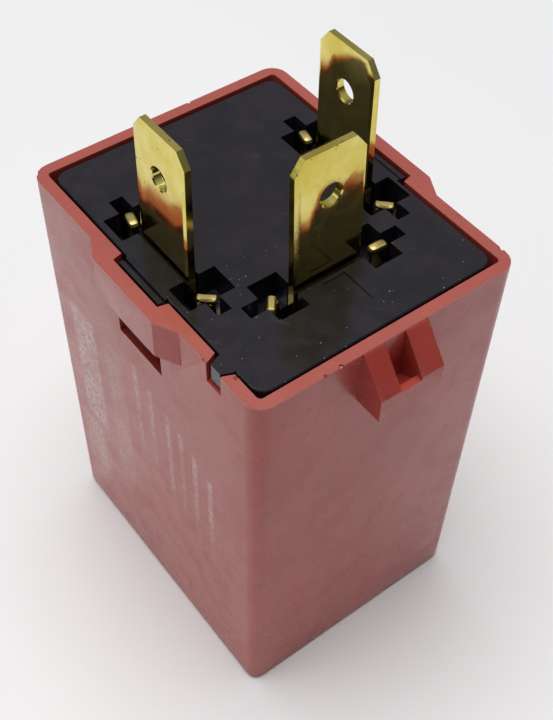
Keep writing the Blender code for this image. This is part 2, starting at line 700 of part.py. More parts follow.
def make_moving_rivets(pivot, steel, silver):
    """The two spring rivets and the moving contact."""
    top = LEAF_Z[1] + GAP
    for name, x in zip(("spring_rivet_near", "spring_rivet_far"), rivet_places()):
        profile = [(0.6, ARMATURE_Z[0] + 0.1), (0.6, top), (1.1, top),
                   (1.0, top + 0.35), (0.6, top + 0.55)]
        hang(dress(turned(name, profile, (x, CONTACT_Y), steps=16), steel, smooth=True), pivot)
    head_top = LEAF_Z[0] - GAP
    low = FIXED_TOP + 0.25
    profile = [(1.1, low), (1.5, low + 0.3), (1.5, head_top), (0.7, head_top),
               (0.7, top), (1.2, top), (1.0, top + 0.45)]
    hang(dress(turned("moving_contact", profile, (CONTACT_X, CONTACT_Y)), silver, smooth=True), pivot)


def make_fixed_contact(material):
    """The contact that is riveted to the foot of the side terminal."""
    seat = FOOT_Z[1] + GAP
    under = FOOT_Z[0] - GAP
    profile = [(1.0, under - 0.45), (1.2, under), (0.7, under), (0.7, seat),
               (1.6, seat), (1.6, FIXED_TOP - 0.25), (1.2, FIXED_TOP)]
    dress(turned("fixed_contact", profile, (CONTACT_X, CONTACT_Y)), material, smooth=True)


def hook_points(z, radius, start, end, steps=12):
    """An arc around a lug, in the plane across X. Angles run from straight up."""
    points = []
    for i in range(steps + 1):
        angle = math.radians(start + (end - start) * i / steps)
        points.append((SPRING_X, CORE_Y + radius * math.sin(angle), z + radius * math.cos(angle)))
    return points


def make_return_spring(material):
    """The tension spring between the yoke's lug and the armature's tail, hooked at both ends."""
    low_z, high_z = SPRING_Z
    lug_middle = sum(LUG_Z) / 2
    tail_drop = (HINGE_X - SPRING_X) * math.tan(math.radians(OPEN_ANGLE))
    # The upper hook is centred between the tail's open and closed heights, so it clears both.
    tail_middle = sum(ARMATURE_Z) / 2 - tail_drop / 2
    points = hook_points(lug_middle, LOW_HOOK_R, 50, 360)
    points.append((SPRING_X + 0.5, CORE_Y, low_z - 0.25))
    steps = SPRING_TURNS * 12
    for i in range(steps + 1):
        angle = math.tau * i / 12
        z = low_z + (high_z - low_z) * i / steps
        points.append((SPRING_X + SPRING_R * math.cos(angle), CORE_Y + SPRING_R * math.sin(angle), z))
    points.append((SPRING_X + 0.5, CORE_Y, high_z + 0.25))
    points.append((SPRING_X, CORE_Y, high_z + 0.9))
    points += hook_points(tail_middle, HIGH_HOOK_R, 180, 490)
    dress(wire("return_spring", points, SPRING_WIRE_R, 1), material, smooth=True)


def make_conductors(braid_material, shunt_material):
    """The braided pigtail from the yoke to the leaf, and the shunt wire from the front terminal."""
    lift = (-1.85 - HINGE_X) * math.tan(math.radians(OPEN_ANGLE))
    wing = LEAF_Y[0] - 0.9
    anchors = PIGTAIL_POINTS + [(-1.9, wing, LEAF_Z[1] + lift + 1.0)]
    dress(wire("pigtail", smooth_path(anchors, 5), PIGTAIL_R), braid_material, smooth=True)
    top = (FRONT_BLADE[0], FRONT_BLADE[1], FRONT_LEG_LOW - GAP)
    first, second, third, last = SHUNT_BENDS
    anchors = [top, (top[0], top[1], first), (top[0], top[1], second), (top[0], top[1] + 0.2, third),
               (top[0], -7.4, last), (top[0], YOKE_Y[0] - GAP, YOKE_Z[0] + YOKE_T / 2)]
    dress(wire("shunt_wire", smooth_path(anchors, 4), SHUNT_R), shunt_material, smooth=True)


# ---------------------------------------------------------------- circuit board

def chip_leg_places():
    """Where the chip's eight legs stand, as (x, z)."""
    return [(CHIP_MIDDLE[0] + side * CHIP_ROW, CHIP_MIDDLE[1] + (row - 1.5) * CHIP_PITCH)
            for side in (-1, 1) for row in range(4)]


def lead_places():
    """Where every round lead goes through the board, as (x, z)."""
    places = [(x, PIN_Z) for x in PIN_X] + chip_leg_places()
    places += [(CAPACITOR_MIDDLE[0] + side * CAPACITOR_PITCH / 2, CAPACITOR_MIDDLE[1])
               for side in (-1, 1)]
    for middle, height, *rest in LYING_PARTS.values():
        places += [(middle + side * LYING_SPAN, height) for side in (-1, 1)]
    return places


def make_board(material):
    """The board, with its lead holes and the slots for the yoke's tabs and the rear terminal's tab."""
    plate = block("circuit_board", (-BOARD_X, BOARD_X), BOARD_Y, BOARD_Z)
    through = (BOARD_Y[0] - 1, BOARD_Y[1] + 1)
    for x, z in lead_places():
        cut(plate, round_bar("hole", (x, z), LEAD_R + GAP, *through, axis="Y", steps=8))
    for low, high in YOKE_TABS:
        cut(plate, block("slot", (low - GAP, high + GAP), through,
                         (YOKE_Z[0] - GAP, YOKE_Z[0] + YOKE_T + GAP)))
    cut(plate, block("slot", (REAR_BLADE[0] - TAB_HALF - GAP, REAR_BLADE[0] + TAB_HALF + GAP), through,
                     (TAB_Z[0] - GAP, TAB_Z[1] + GAP)))
    return dress(plate, material)


def make_lying_part(name, finishes):
    """A resistor or diode that lies along X in front of the board, with its bent leads."""
    middle, height, radius, half, material = LYING_PARTS[name]
    bead = 0.25 * half
    waist = radius * (0.82 if material == "resistor" else 1.0)
    profile = [(0.8 * radius, -half), (radius, -half + 0.3), (radius, -half + bead),
               (waist, -half + 1.3 * bead), (waist, half - 1.3 * bead), (radius, half - bead),
               (radius, half - 0.3), (0.8 * radius, half)]
    body = turned(name, profile, (0, 0), steps=16)
    body.data.transform(Matrix.Rotation(math.pi / 2, 4, "Y"))
    body.data.transform(Matrix.Translation(Vector((middle, LYING_Y, height)) * MM))
    for side in (-1, 1):
        corner = middle + side * LYING_SPAN
        lead = [(middle + side * (half - 0.6), LYING_Y, height), (corner - side * 0.5, LYING_Y, height),
                (corner - side * 0.15, LYING_Y + 0.15, height), (corner, LYING_Y + 0.5, height),
                (corner, LEAD_END_Y, height)]
        join(body, wire("lead", lead, LEAD_R))
    return dress(body, finishes[material], smooth=True)


def make_chip(material):
    """The eight-legged timer chip."""
    x, z = CHIP_MIDDLE
    half_x, half_z = CHIP_HALF
    body = block("timer_chip", (x - half_x, x + half_x), CHIP_Y, (z - half_z, z + half_z))
    for leg_x, leg_z in chip_leg_places():
        inner = x + math.copysign(2.9, leg_x - x)
        outer = leg_x + math.copysign(0.15, leg_x - x)
        join(body, block("arm", sorted((inner, outer)), (3.95, 4.25), (leg_z - 0.25, leg_z + 0.25)),
             block("leg", (leg_x - 0.15, leg_x + 0.15), (4.1, LEAD_END_Y), (leg_z - 0.24, leg_z + 0.24)))
    return dress(body, material)


def make_capacitor(material):
    """The electrolytic capacitor, lying along Y with its crimped collar towards the board."""
    high = BOARD_Y[0] - 0.5
    low = high - CAPACITOR_LENGTH
    r = CAPACITOR_R
    profile = [(r - 0.3, low), (r, low + 0.3), (r, high - 2.0), (r - 0.25, high - 1.6),
               (r, high - 1.2), (r, high - 0.3), (r - 0.3, high)]
    can = turned("timing_capacitor", profile, CAPACITOR_MIDDLE, axis="Y")
    for side in (-1, 1):
        x = CAPACITOR_MIDDLE[0] + side * CAPACITOR_PITCH / 2
        join(can, wire("lead", [(x, high - 0.4, CAPACITOR_MIDDLE[1]),
                                (x, LEAD_END_Y, CAPACITOR_MIDDLE[1])], LEAD_R))
    return dress(can, material, smooth=True)


# ---------------------------------------------------------------- the whole relay

def main():
    for old in list(bpy.data.objects):
        bpy.data.objects.remove(old)
    finishes = make_finishes()
    make_case(finishes["red_plastic"])
    make_base(finishes["black_plastic"])
    make_terminals(finishes["brass"])
    make_yoke(finishes["steel"])
    make_core(finishes["steel"])
    make_bobbin(finishes["bobbin_plastic"])
    make_coil(finishes["copper_wire"], finishes["tape"], finishes["tinned_wire"])
    pivot = hinge_empty()
    make_armature(pivot, finishes["steel"])
    make_contact_spring(pivot, finishes["spring_bronze"])
    make_moving_rivets(pivot, finishes["steel"], finishes["silver"])
    make_fixed_contact(finishes["silver"])
    make_return_spring(finishes["spring_steel"])
    make_conductors(finishes["copper_wire"], finishes["tinned_wire"])
    make_board(finishes["board"])
    for name in LYING_PARTS:
        make_lying_part(name, finishes)
    make_chip(finishes["chip"])
    make_capacitor(finishes["capacitor"])


main()
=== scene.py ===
"""The looks of a three-blade plug-in relay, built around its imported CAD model.

Lengths are in millimetres until a mesh is made. The red case, the black base and the three brass
terminals are rebuilt with rounded and coined edges, nicks and engraving. Every other node keeps its
CAD shape and gets a procedural material.
"""

import math
import random

import bmesh
import bpy
from mathutils import Matrix, Vector


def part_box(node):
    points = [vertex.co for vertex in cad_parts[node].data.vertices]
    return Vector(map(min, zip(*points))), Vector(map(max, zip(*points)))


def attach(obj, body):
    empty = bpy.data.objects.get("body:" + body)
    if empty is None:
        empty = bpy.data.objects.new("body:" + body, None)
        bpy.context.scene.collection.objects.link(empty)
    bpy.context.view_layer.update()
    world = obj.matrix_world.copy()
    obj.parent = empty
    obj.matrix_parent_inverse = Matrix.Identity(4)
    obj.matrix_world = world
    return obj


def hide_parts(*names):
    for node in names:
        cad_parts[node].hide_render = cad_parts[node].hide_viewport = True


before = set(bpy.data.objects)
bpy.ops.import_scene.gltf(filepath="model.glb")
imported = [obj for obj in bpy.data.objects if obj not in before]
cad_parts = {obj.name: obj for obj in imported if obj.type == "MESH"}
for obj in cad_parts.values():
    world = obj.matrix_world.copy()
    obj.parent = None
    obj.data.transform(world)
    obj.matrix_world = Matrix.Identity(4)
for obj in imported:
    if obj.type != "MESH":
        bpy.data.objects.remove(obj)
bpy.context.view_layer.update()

MM = 0.001
WELD = 1e-6
HOUSING = "housing"

# Camera: where it stands, where it looks (degrees), and its lens on a 36 mm sensor.
CAMERA_AT = (53.017, -41.025, 104.56)
CAMERA_AZIMUTH = 51.344
CAMERA_ELEVATION = 49.949
CAMERA_ROLL = 1.944
CAMERA_LENS = 59.078

# Case and base.
RIM_Z = 42.0
CASE_HALF = (15.1, 12.25)
BASE_TOP = 41.9
BRACKET_X = 15.05
BRACKET_Y = (-3.1, 3.2)

# Nicks along the case rim: X, Y, how far below the rim, and size.
NICKS = ((11.6, -11.4, 0.0, 0.24), (15.05, -4.9, 0.1, 0.24), (15.1, -6.3, 0.05, 0.2),
         (-4.2, -13.2, 0.05, 0.2), (13.2, 12.2, 0.0, 0.24), (-15.1, 3.0, 0.05, 0.22),
         (9.0, -12.25, 0.05, 0.18), (-14.6, -11.9, 0.1, 0.22), (5.0, 13.2, 0.05, 0.2))

# An angled groove in the base beside the side terminal: its X and Y, half its width, and its depth.
GROOVE_X = (8.15, 11.3)
GROOVE_Y = (-0.95, 1.05)
GROOVE_HALF = 0.07
GROOVE_DEPTH = 0.10

# Worn print on the front wall, kept as plain bars. Blocks: X, Z, softness in X and Z, strength.
PRINT_BLOCKS = (((-11.6, -8.0), (14.9, 30.1), 0.3, 0.4, 1.0),
                ((-13.0, -9.4), (6.4, 14.1), 0.4, 0.5, 0.7),
                ((-6.4, -3.8), (11.1, 29.9), 0.5, 0.8, 0.4))
# Rows: middle in X, top, bottom, strength at the top.
PRINT_ROWS = ((-1.5, 30.9, 13.7, 0.85), (0.6, 29.9, 12.8, 0.65), (3.1, 29.0, 11.9, 0.85),
              (4.9, 28.5, 11.5, 0.70), (6.8, 27.5, 11.9, 0.80), (8.9, 26.5, 11.0, 0.80))
ROW_HALF = 0.32

# Terminals. The tip corners are cut back by the chamfer along the width and down.
BLADE_W = 6.3
BLADE_T = 0.8
TIP_CHAMFER = (0.9, 1.2)
HOLE_DROP = 4.0
HOLE_R = 0.95
SHOULDER_Z = (36.0, 37.3)
SHOULDER_HALF = 5.85
EAR_IN, EAR_OUT = 4.25, 5.85
EAR_STRAIGHT = 39.5
EAR_TOP = 41.7
EAR_DIP = 0.35
DIP_FROM_TWIST = 30
EAR_ROUNDNESS = 0.45
LEG_HALF = 2.0
FOOT_HALF = 2.0
TAB_HALF = 1.0
TAB_Z = (30.4, 31.2)
BLADE_RISE = 11.5
# Coined edges: how far each edge is moved in and how deep it is pressed.
COIN_TIP = (0.60, 0.13)
COIN_SIDE = (0.24, 0.08)
COIN_REST = (0.06, 0.04)

# For each terminal: the middle of its blade in X and Y, the twist of its two ears in degrees, and how
# far its tip leans in X and Y.
FRONT_AT, FRONT_EARS, FRONT_LEAN = (-1.2, -8.4), (-14, 50), (0.12, 0.0)
REAR_AT, REAR_EARS, REAR_LEAN = (-1.2, 8.65), (-14, 46), (-0.15, -0.22)
SIDE_AT, SIDE_EARS, SIDE_LEAN = (7.1, 0.1), (-52, 4), (-0.49, -0.1)

# Inner pieces.
WIRE_PITCH = 0.16
BOARD_BACK_Y = (7.5, 7.75)
BOARD_Z = (3.0, 34.8)
RESISTOR_HALF = 3.08
BAND_HALF = 0.25
BAND_PITCH = 0.95
LAST_BAND = 1.9


# ---------------------------------------------------------------- mesh tools

def link(name, data):
    made = bpy.data.objects.new(name, data)
    bpy.context.scene.collection.objects.link(made)
    return made


def from_bmesh(name, bm):
    """Links a bmesh that is drawn in millimetres as an object in metres."""
    bmesh.ops.recalc_face_normals(bm, faces=bm.faces)
    bmesh.ops.scale(bm, vec=(MM, MM, MM), verts=bm.verts)
    mesh = bpy.data.meshes.new(name)
    bm.to_mesh(mesh)
    bm.free()
    return link(name, mesh)


def loft(name, rings):
    """A closed body through rings with the same number of points."""
    bm = bmesh.new()
    loops = [[bm.verts.new(point) for point in ring] for ring in rings]
    count = len(rings[0])
    for lower, upper in zip(loops, loops[1:]):
        for i in range(count):
            j = (i + 1) % count
            bm.faces.new((lower[i], lower[j], upper[j], upper[i]))
    bm.faces.new(loops[0])
    bm.faces.new(loops[-1])
    return from_bmesh(name, bm)


def block(name, x, y, z):
    """A box from its low and high X, Y and Z, used only as a cutter or as a part of a larger body."""
    ring = [(x[0], y[0]), (x[1], y[0]), (x[1], y[1]), (x[0], y[1])]
    return loft(name, [[(a, b, level) for a, b in ring] for level in z])


def evaluated_mesh(made):
    graph = bpy.context.evaluated_depsgraph_get()
    return bpy.data.meshes.new_from_object(made.evaluated_get(graph))


def combine(body, tool, operation):
    """Joins the tool to the body or cuts it away, and removes the tool."""
    change = body.modifiers.new("combine", "BOOLEAN")
    change.operation = operation
    change.object = tool
    mesh = evaluated_mesh(body)
    body.modifiers.clear()
    body.data = mesh
    bpy.data.objects.remove(tool)


def clean_copy(node, name):
    """A copy of a CAD node with its triangles joined back into flat faces."""
    bm = bmesh.new()
    bm.from_mesh(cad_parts[node].data)
    bmesh.ops.remove_doubles(bm, verts=bm.verts, dist=WELD)
    tidy(bm)
    mesh = bpy.data.meshes.new(name)
    bm.to_mesh(mesh)
    bm.free()
    return link(name, mesh)


def tidy(bm):
    bmesh.ops.dissolve_limit(bm, angle_limit=math.radians(0.5), verts=bm.verts, edges=bm.edges)


def tidy_object(made):
    bm = bmesh.new()
    bm.from_mesh(made.data)
    bmesh.ops.remove_doubles(bm, verts=bm.verts, dist=WELD)
    tidy(bm)
    bm.to_mesh(made.data)
    bm.free()


def soften(made, width, segments=3, rule=None, from_angle=28):
    """Rounds the sharp edges. The rule gives each edge its share of the width, from its middle in mm."""
    bm = bmesh.new()
    bm.from_mesh(made.data)
    layer = bm.edges.layers.float.new("bevel_weight_edge")
    for edge in bm.edges:
        sharp = len(edge.link_faces) == 2 and edge.calc_face_angle(0) > math.radians(from_angle)
        if sharp:
            middle = (edge.verts[0].co + edge.verts[1].co) / 2 / MM
            along = (edge.verts[1].co - edge.verts[0].co).normalized()
            edge[layer] = rule(middle, along) if rule else 1.0
    bm.to_mesh(made.data)
    bm.free()
    rounding = made.modifiers.new("round", "BEVEL")
    rounding.limit_method = "WEIGHT"
    rounding.width = width * MM
    rounding.segments = segments
    rounding.use_clamp_overlap = True
    rounding.harden_normals = True
    made.data.shade_smooth()
    made.data.set_sharp_from_angle(angle=math.radians(32))


# ---------------------------------------------------------------- material tools

class Graph:
    """A Principled material and short ways to add nodes to it. Its coordinates are millimetres."""

    def __init__(self, name, **values):
        self.material = bpy.data.materials.new(name)
        self.material.use_nodes = True
        self.tree = self.material.node_tree
        self.shader = self.tree.nodes["Principled BSDF"]
        for socket, value in values.items():
            self.shader.inputs[socket.replace("_", " ")].default_value = value
        place = self.add("ShaderNodeTexCoord").outputs["Object"]
        scaled = self.add("ShaderNodeVectorMath", {0: place, "Scale": 1000.0}, operation="SCALE")
        self.place = scaled.outputs[0]
        parts = self.add("ShaderNodeSeparateXYZ", {0: self.place})
        self.x, self.y, self.z = parts.outputs

    def add(self, kind, inputs=None, **settings):
        node = self.tree.nodes.new(kind)
        for key, value in settings.items():
            setattr(node, key, value)
        for key, value in (inputs or {}).items():
            if isinstance(value, bpy.types.NodeSocket):
                self.tree.links.new(value, node.inputs[key])
            else:
                node.inputs[key].default_value = value
        return node

    def math(self, operation, a, b=0.0, clamp=False):
        node = self.add("ShaderNodeMath", {0: a, 1: b}, operation=operation, use_clamp=clamp)
        return node.outputs[0]

    def times(self, *values):
        result = values[0]
        for value in values[1:]:
            result = self.math("MULTIPLY", result, value)
        return result

    def most(self, *values):
        result = values[0]
        for value in values[1:]:
            result = self.math("MAXIMUM", result, value)
        return result

    def scaled(self, stretch, turn=(0, 0, 0)):
        """The coordinates, turned by degrees and then stretched."""
        turned = self.add("ShaderNodeMapping", {"Vector": self.place,
                                                "Rotation": [math.radians(t) for t in turn]})
        return self.add("ShaderNodeMapping", {"Vector": turned.outputs[0], "Scale": stretch}).outputs[0]

    def noise(self, scale, detail=3.0, vector=None, roughness=0.55):
        node = self.add("ShaderNodeTexNoise", {"Vector": vector or self.place, "Scale": scale,
                                               "Detail": detail, "Roughness": roughness})
        return node.outputs["Fac"]

    def ramp(self, value, low, high, to_low=0.0, to_high=1.0):
        node = self.add("ShaderNodeMapRange", {"Value": value, "From Min": low, "From Max": high,
                                               "To Min": to_low, "To Max": to_high},
                        interpolation_type="SMOOTHSTEP")
        return node.outputs[0]

    def band(self, value, low, high, soft=0.1):
        """1 between low and high, and 0 outside."""
        up = self.ramp(value, low - soft, low + soft)
        down = self.ramp(value, high - soft, high + soft, 1.0, 0.0)
        return self.times(up, down)

    def specks(self, scale, size, share, vector=None):
        """Round grains: size is in cells, and share is how many cells hold one."""
        cell = self.add("ShaderNodeTexVoronoi", {"Vector": vector or self.place, "Scale": scale})
        pick = self.add("ShaderNodeSeparateColor", {0: cell.outputs["Color"]})
        here = self.ramp(pick.outputs[0], 1.0 - share, 1.001 - share)
        return self.times(self.ramp(cell.outputs["Distance"], size * 0.6, size, 1.0, 0.0), here)

    def scratches(self, turn, length, width, share):
        """Thin streaks along the turned X axis; length and width are in mm."""
        vector = self.scaled((1 / length, 1 / width, 1 / width), turn)
        return self.ramp(self.noise(1.0, 2.0, vector), 1.0 - share, 1.0 - share + 0.04)

    def mix(self, share, a, b):
        node = self.add("ShaderNodeMix", data_type="RGBA")
        for socket, value in ((node.inputs[0], share), (node.inputs[6], a), (node.inputs[7], b)):
            if isinstance(value, bpy.types.NodeSocket):
                self.tree.links.new(value, socket)
            elif isinstance(value, tuple):
                socket.default_value = (*value, 1.0)
            else:
                socket.default_value = value
        return node.outputs[2]

    def bump(self, height, depth, normal=None):
        """A bump whose full height is depth, in mm."""
        node = self.add("ShaderNodeBump", {"Height": height, "Distance": depth * MM, "Strength": 1.0})
        if normal is not None:
            self.tree.links.new(normal, node.inputs["Normal"])
        return node.outputs[0]

    def finish(self, colour=None, roughness=None, normal=None):
        for socket, value in (("Base Color", colour), ("Roughness", roughness), ("Normal", normal)):
            if value is not None:
                self.tree.links.new(value, self.shader.inputs[socket])
        return self.material


# ---------------------------------------------------------------- materials

def red_plastic():
    g = Graph("red_moulding", IOR=1.58)
    cloud = g.noise(0.12, 4.0)
    fine = g.noise(9.0, 3.0)
    colour = g.mix(g.ramp(cloud, 0.3, 0.7), (0.365, 0.041, 0.029), (0.41, 0.052, 0.037))
    marks = g.times(g.specks(0.45, 0.16, 0.35), g.ramp(fine, 0.35, 0.6))
    colour = g.mix(g.times(marks, 0.65), colour, (0.16, 0.018, 0.014))
    scratch = g.most(g.scratches((20, 75, 40), 9.0, 0.10, 0.26),
                     g.scratches((60, 10, -50), 7.0, 0.12, 0.25))
    dust = g.specks(1.3, 0.06, 0.25)
    colour = g.mix(g.times(scratch, 0.10), colour, (0.62, 0.20, 0.17))
    colour = g.mix(g.times(dust, 0.5), colour, (0.7, 0.45, 0.4))
    # The top of the rim is a little paler.
    rim = g.times(g.ramp(g.z, RIM_Z - 0.25, RIM_Z - 0.05), g.ramp(fine, 0.3, 0.7, 0.5, 1.0))
    colour = g.mix(g.times(rim, 0.16), colour, (0.60, 0.42, 0.34))
    on_front = g.ramp(g.y, -11.8, -11.5, 1.0, 0.0)
    bars = g.most(*(g.times(g.band(g.x, *span, soft_x), g.band(g.z, *rise, soft_z), share)
                    for span, rise, soft_x, soft_z, share in PRINT_BLOCKS))
    for x, high, low, share in PRINT_ROWS:
        row = g.times(g.band(g.x, x - ROW_HALF, x + ROW_HALF, 0.12), g.ramp(g.z, low, high, 0.0, share),
                      g.ramp(g.z, high, high + 0.4, 1.0, 0.0))
        bars = g.most(bars, row)
    worn = g.ramp(g.noise(2.6, 5.0, roughness=0.7), 0.38, 0.58)
    grain = g.ramp(g.noise(0.5, 3.0), 0.3, 0.75, 0.55, 1.0)
    printed = g.times(bars, on_front, worn, grain)
    colour = g.mix(g.times(printed, 0.9), colour, (0.72, 0.62, 0.60))
    rough = g.ramp(g.noise(0.35, 4.0), 0.3, 0.75, 0.22, 0.34)
    rough = g.math("ADD", rough, g.times(g.most(scratch, dust, printed), 0.25), clamp=True)
    waves = g.bump(g.noise(0.07, 1.0), 0.06)
    skin = g.bump(g.noise(14.0, 3.0), 0.0022, waves)
    cuts = g.bump(scratch, -0.006, skin)
    return g.finish(colour, rough, cuts)


def black_plastic():
    g = Graph("black_moulding", IOR=1.5)
    colour = g.mix(g.ramp(g.noise(0.3, 3.0), 0.3, 0.7), (0.0085, 0.0066, 0.0108),
                   (0.0145, 0.0120, 0.0178))
    # More dust has settled towards the side terminal.
    settled = g.ramp(g.x, -2.0, 7.0, 0.12, 1.0)
    dust = g.times(g.most(g.specks(0.95, 0.06, 0.30), g.specks(2.4, 0.10, 0.22)), settled)
    lint = g.times(g.scratches((0, 0, 25), 1.2, 0.05, 0.235), g.ramp(g.noise(0.25, 1.0), 0.5, 0.62))
    film = g.times(g.ramp(g.noise(0.45, 5.0, roughness=0.65), 0.5, 0.8), 0.02)
    scratch = g.most(g.scratches((0, 0, -35), 8.0, 0.08, 0.27),
                     g.scratches((0, 0, 60), 5.0, 0.07, 0.25))
    colour = g.mix(film, colour, (0.30, 0.29, 0.31))
    colour = g.mix(g.times(scratch, 0.10), colour, (0.30, 0.30, 0.32))
    colour = g.mix(g.times(g.most(dust, lint), 0.6), colour, (0.62, 0.60, 0.58))
    rough = g.ramp(g.noise(0.6, 4.0), 0.3, 0.7, 0.13, 0.24)
    rough = g.math("ADD", rough, g.times(g.most(scratch, dust), 0.35), clamp=True)
    waves = g.bump(g.noise(0.11, 1.0), 0.05)
    skin = g.bump(g.noise(11.0, 3.0), 0.0016, waves)
    return g.finish(colour, rough, g.bump(g.most(scratch, g.times(dust, -2.0)), -0.004, skin))


def brass():
    g = Graph("rolled_brass", Metallic=1.0)
    tone = g.ramp(g.noise(0.35, 5.0, roughness=0.65), 0.3, 0.75)
    colour = g.mix(tone, (0.78, 0.68, 0.22), (0.66, 0.53, 0.09))
    low = g.ramp(g.math("ADD", g.z, g.times(g.noise(0.6, 3.0), 4.0)), 42.5, 47.5, 1.0, 0.0)
    colour = g.mix(g.times(low, 0.25), colour, (0.46, 0.35, 0.10))
    pits = g.most(g.specks(1.3, 0.13, 0.25), g.specks(2.6, 0.2, 0.12))
    colour = g.mix(g.times(pits, 0.75), colour, (0.14, 0.10, 0.04))
    # The staked tops of the ears are dull.
    ear = g.times(g.ramp(g.z, EAR_TOP - 0.5, EAR_TOP - 0.25),
                  g.ramp(g.z, EAR_TOP + 0.02, EAR_TOP + 0.06, 1.0, 0.0))
    colour = g.mix(g.times(ear, 0.5), colour, (0.50, 0.38, 0.20))
    fine = g.most(g.scratches((0, 90, 3), 6.0, 0.05, 0.29),
                  g.scratches((35, 60, 20), 3.0, 0.06, 0.27),
                  g.scratches((0, 4, 86), 3.0, 0.05, 0.27))
    colour = g.mix(g.times(fine, 0.45), colour, (0.34, 0.25, 0.07))
    rough = g.ramp(g.noise(1.2, 4.0), 0.3, 0.7, 0.09, 0.16)
    # A rough strip runs along one edge of the side blade.
    strip = g.times(g.band(g.y, SIDE_AT[1] - 3.2, SIDE_AT[1] - 2.8, 0.05), g.ramp(g.x, 6.0, 6.4),
                    g.ramp(g.z, 43.0, 44.0))
    rough = g.math("ADD", rough, g.times(strip, 0.12))
    rough = g.math("ADD", rough, g.times(ear, 0.3))
    rough = g.math("ADD", rough, g.times(g.most(fine, pits), 0.14), clamp=True)
    dents = g.bump(g.noise(0.5, 1.5), 0.008)
    coined = g.bump(g.times(g.noise(6.0, 2.0), strip), 0.02, dents)
    cuts = g.bump(g.most(g.times(fine, 0.4), pits), -0.003, coined)
    return g.finish(colour, rough, cuts)


def metal(name, light, dark, rough_low, rough_high, stretch=(1.0, 1.0, 1.0), stain=None):
    """A plain metal with a directional grain and light staining."""
    g = Graph(name, Metallic=1.0)
    tone = g.ramp(g.noise(0.8, 5.0), 0.3, 0.7)
    colour = g.mix(tone, light, dark)
    grain = g.noise(3.0, 4.0, g.scaled(stretch))
    if stain:
        spots = g.ramp(g.noise(0.5, 5.0, roughness=0.7), 0.56, 0.72)
        colour = g.mix(g.times(spots, 0.5), colour, stain)
    rough = g.ramp(grain, 0.3, 0.7, rough_low, rough_high)
    return g.finish(colour, rough, g.bump(grain, 0.003))


def moulded(name, light, dark, rough_low, rough_high, scale=1.0, bump=0.004):
    """A plain plastic, lacquer or resin with soft colour changes and a fine skin."""
    g = Graph(name, IOR=1.5)
    colour = g.mix(g.ramp(g.noise(0.4 * scale, 4.0), 0.3, 0.7), light, dark)
    colour = g.mix(g.times(g.specks(1.4 * scale, 0.1, 0.2), 0.4), colour, (0.4, 0.38, 0.35))
    rough = g.ramp(g.noise(2.0 * scale, 4.0), 0.3, 0.7, rough_low, rough_high)
    return g.finish(colour, rough, g.bump(g.noise(8.0 * scale, 3.0), bump))


def circuit_board_material():
    """Green lacquer over woven glass, with a cell pattern for tracks on the side away from the coil."""
    g = Graph("board_lacquer", IOR=1.5)
    weave = g.times(g.math("ADD", g.math("SINE", g.times(g.x, 9.0)), 1.0),
                    g.math("ADD", g.math("SINE", g.times(g.z, 9.0)), 1.0))
    base = g.mix(g.ramp(weave, 0.5, 3.5), (0.035, 0.16, 0.045), (0.045, 0.20, 0.06))
    cells = g.add("ShaderNodeTexVoronoi", {"Vector": g.scaled((1.0, 0.0, 1.0)), "Scale": 0.28},
                  distance="CHEBYCHEV", feature="DISTANCE_TO_EDGE")
    tracks = g.times(g.ramp(cells.outputs[0], 0.055, 0.085), g.ramp(g.y, *BOARD_BACK_Y))
    colour = g.mix(g.times(tracks, 0.55), base, (0.10, 0.36, 0.08))
    low, high = BOARD_Z
    edge = g.most(g.ramp(g.z, low, low + 0.15, 1.0, 0.0), g.ramp(g.z, high - 0.15, high))
    colour = g.mix(g.times(edge, 0.8), colour, (0.42, 0.36, 0.16))
    rough = g.ramp(g.noise(1.4, 4.0), 0.3, 0.7, 0.22, 0.4)
    return g.finish(colour, rough, g.bump(g.math("ADD", g.times(weave, 0.1), tracks), 0.02))


def winding_material():
    """Enamelled copper: the turns run round the coil, one above another."""
    g = Graph("enamelled_copper", Metallic=1.0)
    wave = g.math("SINE", g.times(g.z, math.tau / WIRE_PITCH))
    # The grooves between the turns are painted dark copper as painted shade.
    colour = g.mix(g.ramp(wave, -1.0, 0.3), (0.20, 0.05, 0.015), (0.72, 0.27, 0.10))
    colour = g.mix(g.times(g.ramp(g.noise(0.6, 3.0), 0.45, 0.7), 0.4), colour, (0.5, 0.14, 0.04))
    rough = g.ramp(g.noise(1.5, 3.0), 0.3, 0.7, 0.18, 0.32)
    return g.finish(colour, rough, g.bump(wave, 0.03))


def tape_material():
    """Amber film with the edges of its overlapping turns."""
    g = Graph("amber_tape", IOR=1.5, Coat_Weight=0.3)
    colour = g.mix(g.ramp(g.noise(0.5, 4.0), 0.3, 0.7), (0.62, 0.36, 0.03), (0.72, 0.46, 0.06))
    lap = g.band(g.math("ADD", g.times(g.x, 0.6), g.times(g.noise(0.7, 2.0), 0.5)), -0.4, -0.2, 0.06)
    colour = g.mix(g.times(lap, 0.5), colour, (0.35, 0.17, 0.01))
    rough = g.ramp(g.noise(1.1, 4.0), 0.3, 0.7, 0.18, 0.34)
    return g.finish(colour, rough, g.bump(g.noise(1.3, 2.0), 0.03))


def braid_material():
    """Bare copper braid: two crossed sets of strands."""
    g = Graph("copper_braid", Metallic=1.0)
    around = g.math("ADD", g.x, g.y)
    left = g.math("SINE", g.times(g.math("ADD", around, g.z), 14.0))
    right = g.math("SINE", g.times(g.math("SUBTRACT", around, g.z), 14.0))
    over = g.most(left, right)
    # The gaps between the strands are painted dark copper as painted shade.
    colour = g.mix(g.ramp(over, -0.4, 0.8), (0.22, 0.07, 0.03), (0.80, 0.36, 0.18))
    rough = g.ramp(g.noise(4.0, 3.0), 0.3, 0.7, 0.28, 0.42)
    return g.finish(colour, rough, g.bump(over, 0.05))


